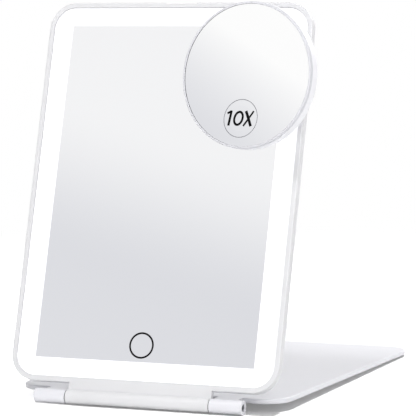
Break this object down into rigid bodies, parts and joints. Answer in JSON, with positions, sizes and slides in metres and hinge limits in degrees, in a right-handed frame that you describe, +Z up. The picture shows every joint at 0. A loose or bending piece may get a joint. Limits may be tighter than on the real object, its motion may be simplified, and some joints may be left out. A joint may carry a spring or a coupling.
{
  "type": "folding travel makeup mirror",
  "caption": "Slim lit travel mirror that leans on its fold-out cover plate, with a friction hinge along the lower edge and a round magnifier that turns and tilts on a magnetic puck.",
  "frame": {"origin": "on the table, below the middle of the overall box", "axes": "+Z up; -Y is the front, the way the mirror faces; +X is to the right of someone looking at the front, along the hinge"},
  "size_m": [0.183, 0.2558, 0.2337],
  "materials": {
    "white_shell": "smooth white moulded plastic with a soft shine",
    "white_plate": "white moulded cover plate with a satin face",
    "grey_rim": "pale grey moulded ring",
    "milky_diffuser": "milky acrylic that spreads the light",
    "flat_mirror": "silvered glass",
    "black_ink": "black printed ring",
    "white_tray": "white reflecting tray",
    "steel": "plain or nickel-plated steel",
    "white_board": "circuit board with white solder mask",
    "led_housing": "light housings with pale yellow phosphor",
    "ribbon_film": "amber film lead",
    "green_board": "circuit board with green solder mask",
    "black_parts": "black moulded components",
    "pouch_foil": "foil pouch",
    "red_wire": "insulated wire",
    "dark_foam": "soft foam",
    "clear_pipe": "clear moulded light pipe",
    "slide_washer": "slippery plastic washer",
    "grey_rubber": "soft pale grey rubber"
  },
  "bodies": {
    "base": {"base_plate": "white_plate", "hinge_shaft_left": "steel", "hinge_shaft_right": "steel", "hinge_washer_left": "slide_washer", "hinge_washer_right": "slide_washer", "hinge_end_screw_left": "steel", "hinge_end_screw_right": "steel", "rear_foot_left": "grey_rubber", "rear_foot_right": "grey_rubber"},
    "panel": {"front_bezel": "white_shell", "light_diffuser": "milky_diffuser", "mirror_pane": "flat_mirror", "touch_ring": "black_ink", "light_tray": "white_tray", "rear_cover": "white_shell", "cover_screws": "steel", "led_board": "white_board", "leds": "led_housing", "led_ribbon": "ribbon_film", "control_board": "green_board", "board_parts": "black_parts", "usb_socket": "steel", "battery": "pouch_foil", "battery_leads": "red_wire", "touch_sensor": "dark_foam", "magnet_target": "steel", "charge_light_pipe": "clear_pipe", "friction_sleeve_left": "steel", "friction_sleeve_right": "steel"},
    "puck": {"puck_body": "white_shell", "puck_pad": "grey_rubber", "puck_magnet": "steel", "tilt_pin": "steel"},
    "magnifier": {"magnifier_housing": "white_shell", "magnifier_rim": "grey_rim", "magnifier_mirror": "flat_mirror", "mirror_cushion": "dark_foam"}
  },
  "joints": [
    {"name": "panel_fold", "type": "hinge", "parent": "base", "child": "panel", "pos_m": [-0.00696, -0.1236, 0.0043], "axis": [1, 0, 0], "range_deg": [-14, 271]},
    {"name": "magnifier_turn", "type": "hinge", "parent": "panel", "child": "puck", "pos_m": [0.05015, -0.06844, 0.18669], "axis": [0, -0.9583, 0.2857], "continuous": true},
    {"name": "magnifier_tilt", "type": "hinge", "parent": "puck", "child": "magnifier", "pos_m": [0.05015, -0.07898, 0.18984], "axis": [0.6665, -0.213, -0.7144], "range_deg": [-29.1, 4.9]}
  ]
}
